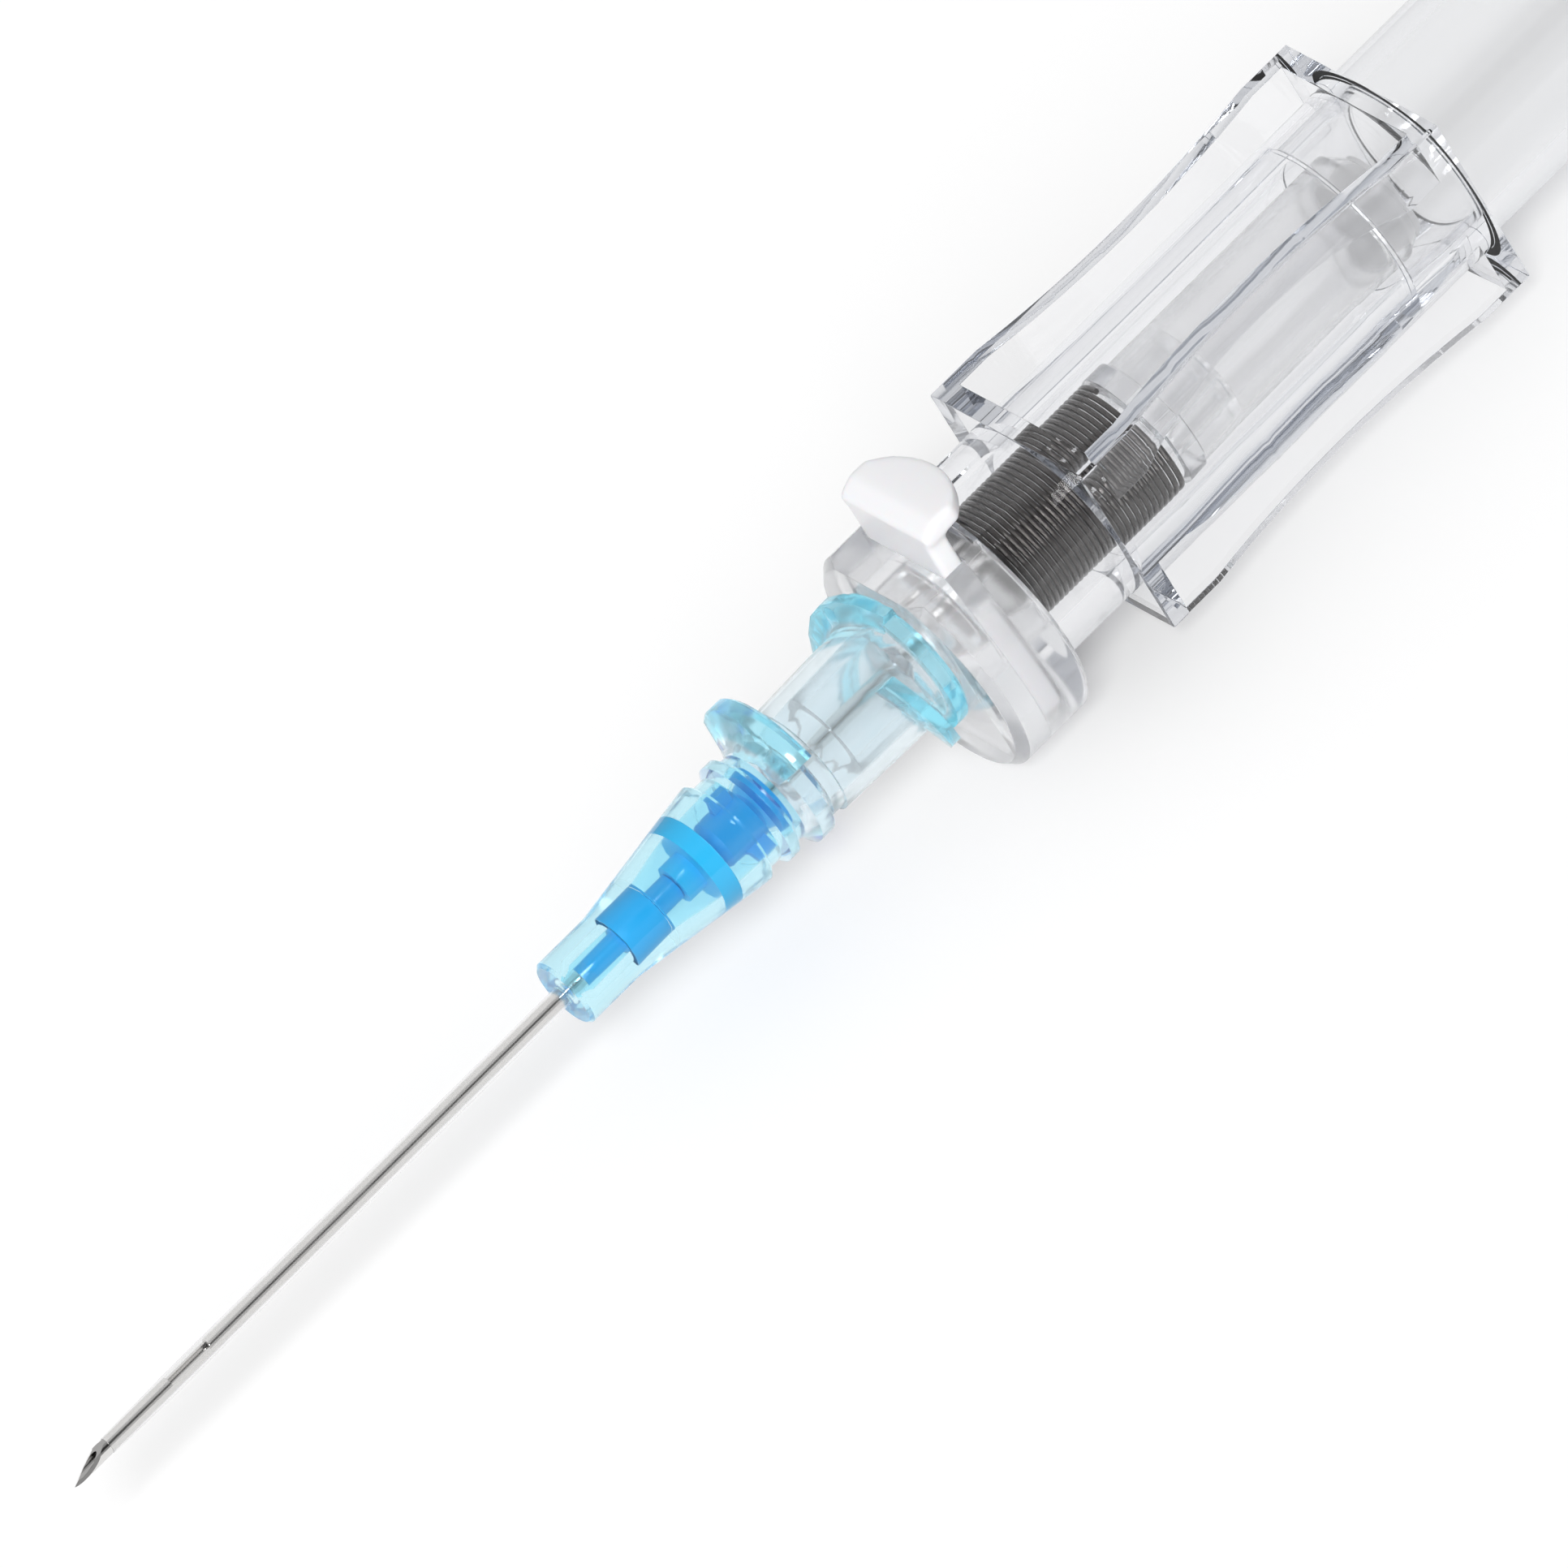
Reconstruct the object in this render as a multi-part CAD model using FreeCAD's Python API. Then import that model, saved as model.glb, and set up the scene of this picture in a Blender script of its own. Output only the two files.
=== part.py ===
import FreeCAD, Part
import math
import os
from FreeCAD import Vector

# A shielded intravenous catheter with a push button. The spring draws the needle back into the barrel.
# Lengths are millimetres. +X points to the tail, +Z to the button, and the bevel faces up.
# Inside the functions x = 0 is the front face of the catheter hub's nose and z = 0 is the needle's axis.

# Clearances
running_gap = 0.05
slide_gap = 0.1
seat_gap = 0.01
wall_gap = 0.05

# Needle
needle_od = 0.70
needle_id = 0.42
needle_reach = 28.05
needle_tail = 30.15
bevel_length = 2.1
lancet_length = 0.9
lancet_turn = 32.0
notch_from_tip = 5.7
notch_length = 2.2
notch_floor = 0.1

# Catheter tube
tube_od = 0.90
tube_wall = 0.075
tube_tip_od = 0.82
tube_reach = 25.85
tube_taper = 3.4
tube_flare = 0.4

# Ferrule that wedges the flared end of the tube in the hub
ferrule_bore = 0.42
ferrule_nose = 2.2
ferrule_nose_r = 0.56
ferrule_flange = 1.9
ferrule_flange_r = 0.80
ferrule_tail = 1.25
ferrule_tail_r = 0.62
ferrule_front = 0.85
ferrule_room_r = 1.2

# Catheter hub
hub_length = 19.75
hub_nose = 2.75
hub_nose_r = 1.58
hub_cone = 6.7
hub_cone_r = 2.50
groove_r = 2.18
front_groove = 0.7
bead_r = 2.56
bead_width = 0.95
rear_groove = 0.4
ring_r = 2.90
ring_width = 1.4
neck_r = 2.42
neck_width = 0.6
luer_front_r = 2.58
luer_rear_r = 2.72
flange_r = 3.34
flange_width = 0.75
edge_round = 0.15
bead_steps = (0, 60, 120, 180)
tab_r = 3.96
tab_setback = 0.1
tab_slope = 0.45
tab_top = 0.95
tab_half_span = 52.0
lug_r = 3.85
lug_lead = 4.8
lug_base = 1.05
lug_crest = 0.5
lug_sweep = 150.0
lug_start = 53.0
lug_steps = 8
luer_mouth_r = 2.15
luer_taper = 0.03
luer_depth = 7.6

# Blood control valve inside the hub
septum_r = 1.62
septum_width = 0.85
septum_boss_r = 0.9
septum_boss = 0.95
chamber_r = 1.75
chamber_length = 3.55
actuator_r = 1.12
actuator_bore = 0.55
actuator_nose_r = 0.8
actuator_nose = 0.6
actuator_length = 3.3
actuator_neck_r = 0.85
actuator_neck = 0.3
actuator_disc_r = 1.5
actuator_disc = 0.55
actuator_fin = 0.3
actuator_fin_length = 0.9
actuator_fin_rear = 1.2
actuator_fins = 3

# Needle hub, the carrier that the spring throws back
plug_length = 5.0
plug_gap = 0.06
plug_bore_r = 1.5
plug_web = 1.1
glue_depth = 0.7
glue_mouth_r = 0.8
latch_neck_r = 1.6
carrier_r = 2.2
seat_flange_r = 2.8
seat_flange_width = 1.0
spigot_length = 2.6
blood_way_r = 0.7

# Flash chamber and its vent plug
chamber_od = 5.2
chamber_wall = 0.45
flash_length = 13.0
flash_corner = 0.7
vent_width = 1.6
vent_proud = 0.25

# Spring, fully compressed at rest
spring_od = 5.5
spring_wire = 0.25
spring_turns = 28
spring_turn_sides = 8
spring_length = 8.05

# Grip: collar, neck and finger frame in one moulding
collar_length = 4.0
collar_r = 5.6
collar_drop = 0.88
collar_top = 3.8
collar_foot = 6.25
collar_chamfer = 0.4
collar_rear_chamfer = 0.25
front_wall = 1.9
slot_floor = 5.5
body_r = 4.5
bore_r = 3.3
front_hole_r = 2.35
shoulder = 0.25
neck_length = 4.15
frame_length = 20.4
frame_width = 10.0
frame_height = 9.1
frame_wall = 0.9
front_plate = 1.0
rear_plate = 0.95
waist = 0.65
waist_flat = 2.6
frame_round = 0.12
socket_depth = 4.0
socket_wall = 0.55

# Button
plate_thick = 1.0
plate_half = 2.7
plate_foot = 4.4
cap_half = 2.85
cap_length = 3.1
cap_thick = 0.95
cap_top = 6.4
cap_crown = 0.25
cap_bevel = 0.82
cap_drop = 0.4
press_travel = 0.9

# Barrel and end cap
barrel_length = 48.3
barrel_bore_r = 3.5
cap_plug = 2.2
cap_plate = 1.3
cap_edge = 0.4

# Stations along the axis, each worked out from the lengths above
needle_tip = -needle_reach
tube_tip = -tube_reach
ferrule_step = ferrule_front + ferrule_nose
ferrule_end = ferrule_step + ferrule_flange + ferrule_tail
septum_front = ferrule_end + running_gap
septum_seat = septum_front + septum_boss
septum_rear = septum_seat + septum_width
chamber_rear = septum_rear + chamber_length
cone_end = hub_nose + hub_cone
bead_start = cone_end + front_groove
bead_end = bead_start + bead_width
ring_start = bead_end + rear_groove
ring_end = ring_start + ring_width
luer_start = ring_end + neck_width
flange_start = hub_length - flange_width
luer_end = hub_length - luer_depth
collar_front = hub_length + wall_gap
collar_rear = collar_front + collar_length
slot_front = collar_front + front_wall
slot_rear = slot_front + plate_thick + 2 * wall_gap
plate_front = slot_front + wall_gap
bore_front = collar_rear + shoulder
frame_front = collar_rear + neck_length
frame_rear = frame_front + frame_length
socket_front = frame_rear - socket_depth
barrel_rear = frame_rear + barrel_length
tail = barrel_rear + cap_plate
plug_front = hub_length - plug_length
web_front = hub_length - plug_web
head_rear = slot_front - wall_gap
carrier_front = slot_rear + wall_gap
seat_front = bore_front + slide_gap + spring_length + slide_gap
seat_rear = seat_front + seat_flange_width
spigot_rear = seat_rear + spigot_length
flash_rear = seat_rear + flash_length
needle_r = needle_od / 2
tube_r = tube_od / 2
needle_bore_r = tube_r - tube_wall
flash_bore_r = chamber_od / 2 - chamber_wall
head_r = luer_mouth_r - plug_gap
origin_x = (needle_tip + tail) / 2


def luer_r(x):
    return luer_mouth_r - luer_taper * (hub_length - x)


def turned(steps):
    # Turns a closed outline of (x, r) points about the X axis
    points = [Vector(x, 0, r) for x, r in steps]
    face = Part.Face(Part.makePolygon(points + points[:1]))
    return face.revolve(Vector(0, 0, 0), Vector(1, 0, 0), 360)


def rod(x0, x1, radius):
    return Part.makeCylinder(radius, x1 - x0, Vector(x0, 0, 0), Vector(1, 0, 0))


def block(low, high):
    size = Vector(*high) - Vector(*low)
    return Part.makeBox(size.x, size.y, size.z, Vector(*low))


def bead(x0, x1, low, high):
    # A rounded ring: stations on a half ellipse from (x0, low) over the top to (x1, low)
    middle = (x0 + x1) / 2
    half = (x1 - x0) / 2
    steps = []
    for turn in bead_steps:
        angle = math.radians(turn)
        steps.append((middle - half * math.cos(angle), low + (high - low) * math.sin(angle)))
    return steps


def grind(turn, length, depth):
    # The half space above a plane that slopes down to the needle's point
    box = Part.makeBox(2 * length, 4 * needle_od, 2 * needle_od, Vector(0, -2 * needle_od, 0))
    slope = math.degrees(math.atan2(depth, length))
    box.rotate(Vector(0, 0, 0), Vector(0, 1, 0), -slope)
    box.translate(Vector(needle_tip, 0, -needle_r))
    box.rotate(Vector(0, 0, 0), Vector(1, 0, 0), turn)
    return box


def make_needle():
    body = rod(needle_tip, needle_tail, needle_r)
    body = body.cut(rod(needle_tip - 1, needle_tail + 1, needle_id / 2))
    body = body.cut(grind(0, bevel_length, needle_od))
    for side in (-lancet_turn, lancet_turn):
        body = body.cut(grind(side, lancet_length, needle_od / 2))
    notch_x = needle_tip + notch_from_tip
    notch = block((notch_x, -needle_od, notch_floor), (notch_x + notch_length, needle_od, needle_od))
    return body.cut(notch)


def make_catheter_tube():
    flare_start = ferrule_front - tube_flare
    flare_r = ferrule_nose_r + seat_gap
    return turned([
        (tube_tip, needle_bore_r),
        (tube_tip, tube_tip_od / 2),
        (tube_tip + tube_taper, tube_r),
        (flare_start, tube_r),
        (ferrule_front, flare_r + tube_wall),
        (ferrule_step, flare_r + tube_wall),
        (ferrule_step, flare_r),
        (ferrule_front, flare_r),
        (flare_start, needle_bore_r),
    ])


def make_ferrule():
    step = ferrule_step + seat_gap
    return turned([
        (ferrule_front, ferrule_bore),
        (ferrule_front, ferrule_nose_r),
        (step, ferrule_nose_r),
        (step, ferrule_flange_r),
        (ferrule_step + ferrule_flange, ferrule_flange_r),
        (ferrule_step + ferrule_flange, ferrule_tail_r),
        (ferrule_end, ferrule_tail_r),
        (ferrule_end, ferrule_bore),
    ])


def hub_outside():
    outline = [
        (0, 0),
        (0, hub_nose_r - edge_round),
        (edge_round, hub_nose_r),
        (hub_nose, hub_nose_r),
        (cone_end - edge_round, hub_cone_r),
        (cone_end, hub_cone_r - edge_round),
        (cone_end, groove_r),
    ]
    outline += bead(bead_start, bead_end, groove_r, bead_r)
    outline += bead(ring_start, ring_end, groove_r, ring_r)
    outline += [
        (ring_end, neck_r),
        (luer_start, neck_r),
        (luer_start, luer_front_r),
        (flange_start, luer_rear_r),
        (flange_start, flange_r),
        (hub_length - edge_round, flange_r),
        (hub_length, flange_r - edge_round),
        (hub_length, 0),
    ]
    return turned(outline)


def hub_cavity():
    # Tube bore, ferrule seat, septum seat, valve chamber and the tapered luer socket
    flare_start = ferrule_front - tube_flare
    flare_seat = ferrule_nose_r + tube_wall + 2 * seat_gap
    ferrule_seat = ferrule_flange_r + seat_gap
    ferrule_rear = ferrule_step + ferrule_flange + seat_gap
    return turned([
        (-1, 0),
        (-1, tube_r + seat_gap),
        (flare_start, tube_r + seat_gap),
        (ferrule_front, flare_seat),
        (ferrule_step, flare_seat),
        (ferrule_step, ferrule_seat),
        (ferrule_rear, ferrule_seat),
        (ferrule_rear, ferrule_room_r),
        (septum_seat, septum_r + seat_gap),
        (septum_rear, septum_r + seat_gap),
        (septum_rear, chamber_r),
        (chamber_rear, chamber_r),
        (luer_end, luer_r(luer_end)),
        (hub_length, luer_mouth_r),
        (hub_length + 1, luer_mouth_r),
        (hub_length + 1, 0),
    ])


def push_tab():
    # A rounded thumb flange over the top of the hub
    foot = ring_start + tab_setback
    top = foot + tab_slope
    rear = top + tab_top
    outline = [
        (foot, 0),
        (foot, neck_r),
        (top - edge_round / 4, tab_r - edge_round),
        (top + edge_round, tab_r),
        (rear - edge_round, tab_r),
        (rear, tab_r - edge_round),
        (rear, 0),
    ]
    disc = turned(outline)
    reach = 2 * tab_r
    side = reach * math.tan(math.radians(tab_half_span))
    wedge = Part.makePolygon([
        Vector(ring_start - 1, 0, 0),
        Vector(ring_start - 1, -side, reach),
        Vector(ring_start - 1, side, reach),
        Vector(ring_start - 1, 0, 0),
    ])
    wedge = Part.Face(wedge).extrude(Vector(ring_width + 2, 0, 0))
    return disc.common(wedge)


def luer_lug(turn):
    # One start of the screw thread round the luer's mouth, lofted through stations along its helix
    root = luer_front_r - edge_round
    rise = lug_lead * lug_sweep / 360
    lug_x = hub_length - flange_width / 2 - rise
    stations = []
    for step in range(lug_steps + 1):
        share = step / lug_steps
        profile = Part.makePolygon([
            Vector(-lug_base / 2, 0, root),
            Vector(-lug_crest / 2, 0, lug_r),
            Vector(lug_crest / 2, 0, lug_r),
            Vector(lug_base / 2, 0, root),
            Vector(-lug_base / 2, 0, root),
        ])
        profile.rotate(Vector(0, 0, 0), Vector(1, 0, 0), turn + share * lug_sweep)
        profile.translate(Vector(lug_x + share * rise, 0, 0))
        stations.append(profile)
    lug = Part.makeLoft(stations, True, True)
    rear = Part.makeBox(lug_lead, 4 * lug_r, 4 * lug_r, Vector(hub_length, -2 * lug_r, -2 * lug_r))
    return lug.cut(rear)


def make_catheter_hub():
    body = hub_outside()
    body = body.fuse(push_tab())
    for turn in (lug_start, lug_start + 180):
        body = body.fuse(luer_lug(turn))
    return body.cut(hub_cavity())


def make_septum():
    bore = needle_r + seat_gap
    return turned([
        (septum_front, bore),
        (septum_front, septum_boss_r),
        (septum_seat, septum_boss_r),
        (septum_seat, septum_r),
        (septum_rear, septum_r),
        (septum_rear, bore),
    ])


def make_actuator():
    front = septum_rear + running_gap
    rear = front + actuator_length
    body = turned([
        (front, actuator_bore),
        (front, actuator_nose_r),
        (front + actuator_nose, actuator_r),
        (rear - actuator_disc - actuator_neck, actuator_r),
        (rear - actuator_disc - actuator_neck, actuator_neck_r),
        (rear - actuator_disc, actuator_neck_r),
        (rear - actuator_disc, actuator_disc_r),
        (rear, actuator_disc_r),
        (rear, actuator_bore),
    ])
    fin_rear = rear - actuator_fin_rear
    for number in range(actuator_fins):
        fin = block(
            (fin_rear - actuator_fin_length, -actuator_fin / 2, actuator_r - actuator_fin),
            (fin_rear, actuator_fin / 2, chamber_r - running_gap))
        fin.rotate(Vector(0, 0, 0), Vector(1, 0, 0), number * 360 / actuator_fins)
        body = body.fuse(fin)
    return body


def make_needle_hub():
    bore = needle_r + seat_gap
    return turned([
        (plug_front, plug_bore_r),
        (plug_front, luer_r(plug_front) - plug_gap),
        (hub_length, head_r),
        (head_rear, head_r),
        (head_rear, latch_neck_r),
        (carrier_front, latch_neck_r),
        (carrier_front, carrier_r),
        (seat_front, carrier_r),
        (seat_front, seat_flange_r),
        (seat_rear, seat_flange_r),
        (seat_rear, flash_bore_r - running_gap),
        (spigot_rear, flash_bore_r - running_gap),
        (spigot_rear, blood_way_r),
        (needle_tail, blood_way_r),
        (needle_tail, bore),
        (web_front + glue_depth, bore),
        (web_front, glue_mouth_r),
        (web_front, plug_bore_r),
    ])


def make_needle_glue():
    inner = needle_r + seat_gap
    return turned([
        (web_front + glue_depth - 2 * seat_gap, inner),
        (web_front, inner),
        (web_front, glue_mouth_r - 2 * seat_gap),
    ])


def make_flash_chamber():
    outer = chamber_od / 2
    front = seat_rear + running_gap
    mouth_r = flash_bore_r - flash_corner / 2
    return turned([
        (front, flash_bore_r),
        (front, outer),
        (flash_rear - flash_corner, outer),
        (flash_rear, outer - flash_corner),
        (flash_rear, mouth_r),
        (flash_rear - vent_width, mouth_r),
        (flash_rear - vent_width, flash_bore_r),
    ])


def make_vent_plug():
    plug_r = flash_bore_r - flash_corner / 2 - seat_gap
    return rod(flash_rear - vent_width, flash_rear + vent_proud, plug_r)


def make_spring():
    # A close coil of square wire, swept along short straight runs round each turn
    coil_r = (spring_od - spring_wire) / 2
    rise = (spring_length - spring_wire) / spring_turns
    path = []
    for step in range(spring_turns * spring_turn_sides + 1):
        angle = 2 * math.pi * step / spring_turn_sides
        height = rise * step / spring_turn_sides
        path.append(Vector(coil_r * math.cos(angle), coil_r * math.sin(angle), height))
    half = spring_wire / 2
    section = Part.makePolygon([
        Vector(coil_r - half, 0, -half),
        Vector(coil_r + half, 0, -half),
        Vector(coil_r + half, 0, half),
        Vector(coil_r - half, 0, half),
        Vector(coil_r - half, 0, -half),
    ])
    sweep = Part.BRepOffsetAPI.MakePipeShell(Part.makePolygon(path))
    sweep.setTransitionMode(1)
    sweep.add(section, False, False)
    sweep.build()
    sweep.makeSolid()
    coil = sweep.shape()
    coil.rotate(Vector(0, 0, 0), Vector(0, 1, 0), 90)
    coil.translate(Vector(bore_front + slide_gap + half, 0, 0))
    return coil


def collar():
    disc = turned([
        (collar_front, 0),
        (collar_front, collar_r - collar_chamfer),
        (collar_front + collar_chamfer, collar_r),
        (collar_rear - collar_rear_chamfer, collar_r),
        (collar_rear, collar_r - collar_rear_chamfer),
        (collar_rear, 0),
    ])
    disc.translate(Vector(0, 0, -collar_drop))
    wide = collar_r + 1
    keep = block((collar_front - 1, -wide, -collar_foot), (collar_rear + 1, wide, collar_top))
    return disc.common(keep)


def side_plate_outline(side):
    # The finger rest's side, drawn in plan: straight at both ends and hollowed between them
    edge = frame_width / 2
    flat_front = frame_front + waist_flat
    flat_rear = frame_rear - waist_flat
    middle = (flat_front + flat_rear) / 2
    inner = edge - frame_wall
    outside = Part.Arc(
        Vector(flat_front, edge, 0), Vector(middle, edge - waist, 0), Vector(flat_rear, edge, 0))
    inside = Part.Arc(
        Vector(flat_rear, inner, 0), Vector(middle, inner - waist, 0), Vector(flat_front, inner, 0))
    edges = [
        Part.LineSegment(Vector(frame_front, edge, 0), Vector(flat_front, edge, 0)).toShape(),
        outside.toShape(),
        Part.LineSegment(Vector(flat_rear, edge, 0), Vector(frame_rear, edge, 0)).toShape(),
        Part.LineSegment(Vector(frame_rear, edge, 0), Vector(frame_rear, inner, 0)).toShape(),
        Part.LineSegment(Vector(frame_rear, inner, 0), Vector(flat_rear, inner, 0)).toShape(),
        inside.toShape(),
        Part.LineSegment(Vector(flat_front, inner, 0), Vector(frame_front, inner, 0)).toShape(),
        Part.LineSegment(Vector(frame_front, inner, 0), Vector(frame_front, edge, 0)).toShape(),
    ]
    face = Part.Face(Part.Wire(edges))
    face.translate(Vector(0, 0, -frame_height / 2))
    plate = face.extrude(Vector(0, 0, frame_height))
    if side < 0:
        plate = plate.mirror(Vector(0, 0, 0), Vector(0, 1, 0))
    return plate


def finger_frame():
    half_width = frame_width / 2
    half_height = frame_height / 2
    front = block((frame_front, -half_width, -half_height), (frame_front + front_plate, half_width, half_height))
    rear = block((frame_rear - rear_plate, -half_width, -half_height), (frame_rear, half_width, half_height))
    frame = front.multiFuse([rear, side_plate_outline(1), side_plate_outline(-1)]).removeSplitter()
    corners = []
    for edge in frame.Edges:
        box = edge.BoundBox
        long_way = box.XLength > frame_length / 20
        outside = min(abs(box.YMin), abs(box.YMax)) > half_width - waist - seat_gap
        at_top = abs(abs(box.Center.z) - half_height) < seat_gap and box.ZLength < seat_gap
        if long_way and outside and at_top:
            corners.append(edge)
    return frame.makeChamfer(frame_round, corners)


def button_slot():
    wide = plate_half + wall_gap
    return block((slot_front, -wide, -slot_floor), (slot_rear, wide, collar_top + 1))


def make_grip():
    body = collar().fuse(rod(collar_rear - shoulder, frame_rear, body_r)).fuse(finger_frame())
    body = body.cut(rod(collar_front - 1, bore_front, front_hole_r))
    body = body.cut(rod(bore_front, frame_rear + 1, bore_r))
    socket_r = body_r - socket_wall
    body = body.cut(rod(socket_front, frame_rear + 1, socket_r))
    return body.cut(button_slot()).removeSplitter()


def keyhole():
    # An upright slot that the needle hub's head clears in both positions of the button
    radius = head_r + slide_gap
    low = rod(slot_front - 1, slot_rear + 1, radius)
    high = low.copy()
    high.translate(Vector(0, 0, press_travel))
    middle = block((slot_front - 1, -radius, 0), (slot_rear + 1, radius, press_travel))
    return low.multiFuse([high, middle])


def button_cap():
    # The side view is drawn on the middle plane and crossed with the D-shaped plan
    front = plate_front
    rear = front + cap_length
    under = cap_top - cap_thick
    side_view = Part.Wire([
        Part.LineSegment(Vector(front, 0, under), Vector(front, 0, cap_top - cap_drop)).toShape(),
        Part.LineSegment(Vector(front, 0, cap_top - cap_drop), Vector(front + cap_bevel, 0, cap_top)).toShape(),
        Part.Arc(
            Vector(front + cap_bevel, 0, cap_top),
            Vector((front + cap_bevel + rear) / 2, 0, cap_top - cap_crown / 4),
            Vector(rear, 0, cap_top - cap_crown)).toShape(),
        Part.LineSegment(Vector(rear, 0, cap_top - cap_crown), Vector(rear, 0, under)).toShape(),
        Part.LineSegment(Vector(rear, 0, under), Vector(front, 0, under)).toShape(),
    ])
    slab = Part.Face(side_view).extrude(Vector(0, 2 * cap_half, 0))
    slab.translate(Vector(0, -cap_half, 0))
    shoulder_x = rear - cap_length * 0.45
    plan = Part.Wire([
        Part.LineSegment(Vector(front - 1, -cap_half, 0), Vector(shoulder_x, -cap_half, 0)).toShape(),
        Part.Arc(Vector(shoulder_x, -cap_half, 0), Vector(rear, 0, 0), Vector(shoulder_x, cap_half, 0)).toShape(),
        Part.LineSegment(Vector(shoulder_x, cap_half, 0), Vector(front - 1, cap_half, 0)).toShape(),
        Part.LineSegment(Vector(front - 1, cap_half, 0), Vector(front - 1, -cap_half, 0)).toShape(),
    ])
    prism = Part.Face(plan).extrude(Vector(0, 0, cap_top + 1))
    return slab.common(prism)


def make_button():
    plate = block((plate_front, -plate_half, -plate_foot), (plate_front + plate_thick, plate_half, cap_top - cap_thick))
    foot = rod(plate_front - 1, plate_front + plate_thick + 1, plate_foot)
    foot = foot.fuse(block((plate_front - 1, -body_r, 0), (plate_front + plate_thick + 1, body_r, cap_top)))
    plate = plate.common(foot).cut(keyhole())
    return plate.fuse(button_cap()).removeSplitter()


def make_barrel():
    spigot_r = body_r - socket_wall - running_gap
    front = socket_front + running_gap
    return turned([
        (front, bore_r),
        (front, spigot_r),
        (frame_rear, spigot_r),
        (frame_rear, body_r),
        (barrel_rear, body_r),
        (barrel_rear, barrel_bore_r),
        (frame_rear, barrel_bore_r),
        (frame_rear, bore_r),
    ])


def make_end_cap():
    front = barrel_rear - cap_plug
    plug_r = barrel_bore_r - running_gap
    hollow_r = plug_r - socket_wall
    return turned([
        (front, hollow_r),
        (front, plug_r),
        (barrel_rear, plug_r),
        (barrel_rear, body_r),
        (tail - cap_edge, body_r),
        (tail, body_r - cap_edge),
        (tail, 0),
        (barrel_rear, 0),
        (barrel_rear, hollow_r),
    ])


nodes = {
    "needle": make_needle,
    "catheter_tube": make_catheter_tube,
    "tube_ferrule": make_ferrule,
    "catheter_hub": make_catheter_hub,
    "valve_septum": make_septum,
    "valve_actuator": make_actuator,
    "needle_hub": make_needle_hub,
    "needle_glue": make_needle_glue,
    "flash_chamber": make_flash_chamber,
    "vent_plug": make_vent_plug,
    "spring": make_spring,
    "grip": make_grip,
    "button": make_button,
    "barrel": make_barrel,
    "end_cap": make_end_cap,
}

os.makedirs("parts", exist_ok=True)
for name, make in nodes.items():
    shape = make()
    shape.translate(Vector(-origin_x, 0, collar_foot))
    shape.exportStep("parts/" + name + ".step")
    print(name, shape.ShapeType, "solids", len(shape.Solids), "volume", round(shape.Volume, 3),
          "valid", shape.isValid())
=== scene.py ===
import bmesh
import bpy
import math
from mathutils import Matrix, Vector


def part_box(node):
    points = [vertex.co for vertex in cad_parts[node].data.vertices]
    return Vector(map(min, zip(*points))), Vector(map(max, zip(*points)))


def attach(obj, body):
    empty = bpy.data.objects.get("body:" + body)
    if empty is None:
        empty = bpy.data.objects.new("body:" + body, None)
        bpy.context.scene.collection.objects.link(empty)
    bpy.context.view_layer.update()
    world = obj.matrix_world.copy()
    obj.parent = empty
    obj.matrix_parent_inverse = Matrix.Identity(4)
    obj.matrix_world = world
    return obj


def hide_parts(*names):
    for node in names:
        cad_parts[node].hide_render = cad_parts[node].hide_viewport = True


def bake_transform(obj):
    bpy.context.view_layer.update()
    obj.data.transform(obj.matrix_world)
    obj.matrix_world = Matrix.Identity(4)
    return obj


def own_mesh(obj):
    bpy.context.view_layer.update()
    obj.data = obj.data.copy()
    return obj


# Finishes and fine forms of a shielded intravenous catheter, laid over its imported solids.
# Sizes are millimetres. Stations along the needle are counted from the front face of the blue hub,
# and heights from the needle's axis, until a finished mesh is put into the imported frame.

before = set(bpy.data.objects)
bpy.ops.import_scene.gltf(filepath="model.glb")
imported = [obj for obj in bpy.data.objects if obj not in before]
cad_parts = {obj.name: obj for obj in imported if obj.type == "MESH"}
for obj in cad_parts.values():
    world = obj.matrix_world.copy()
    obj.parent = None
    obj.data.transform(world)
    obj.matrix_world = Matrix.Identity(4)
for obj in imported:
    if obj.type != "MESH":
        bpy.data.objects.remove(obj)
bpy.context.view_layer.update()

MM = 0.001
NOSE_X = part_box("catheter_hub")[0][0]
needle_low, needle_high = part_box("needle")
AXIS_Z = (needle_low[2] + needle_high[2]) / 2
TO_FRAME = Matrix.Translation((NOSE_X, 0, AXIS_Z)) @ Matrix.Scale(MM, 4)


def station(node):
    """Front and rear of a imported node, in millimetres from the hub's nose."""
    low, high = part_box(node)
    return (low[0] - NOSE_X) / MM, (high[0] - NOSE_X) / MM


def on_axis(x):
    """A point on the needle's axis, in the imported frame."""
    return (x, 0, AXIS_Z)


# Photograph's viewpoint, in metres
VIEW_TURN = math.radians(18.83)
VIEW_RISE = math.radians(39.05)
VIEW_ROLL = math.radians(32.55)
VIEW_CENTRE = Vector((-0.02337, -0.00250, 0.00813))
VIEW_DISTANCE = 2.0
VIEW_WIDTH = 0.06153
SENSOR = 36.0
CLIP_START = 0.01
CLIP_END = 20

# Lamps: each direction points from the object to the lamp
KEY_DIRECTION = Vector((-2.81, -5.31, 6.25))
KEY_STRENGTH = 1.35
KEY_ANGLE = math.radians(16)
FILL_DIRECTION = Vector((-5.5, -7.2, 4.2))
FILL_STRENGTH = 0.95
FILL_ANGLE = math.radians(30)

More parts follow.
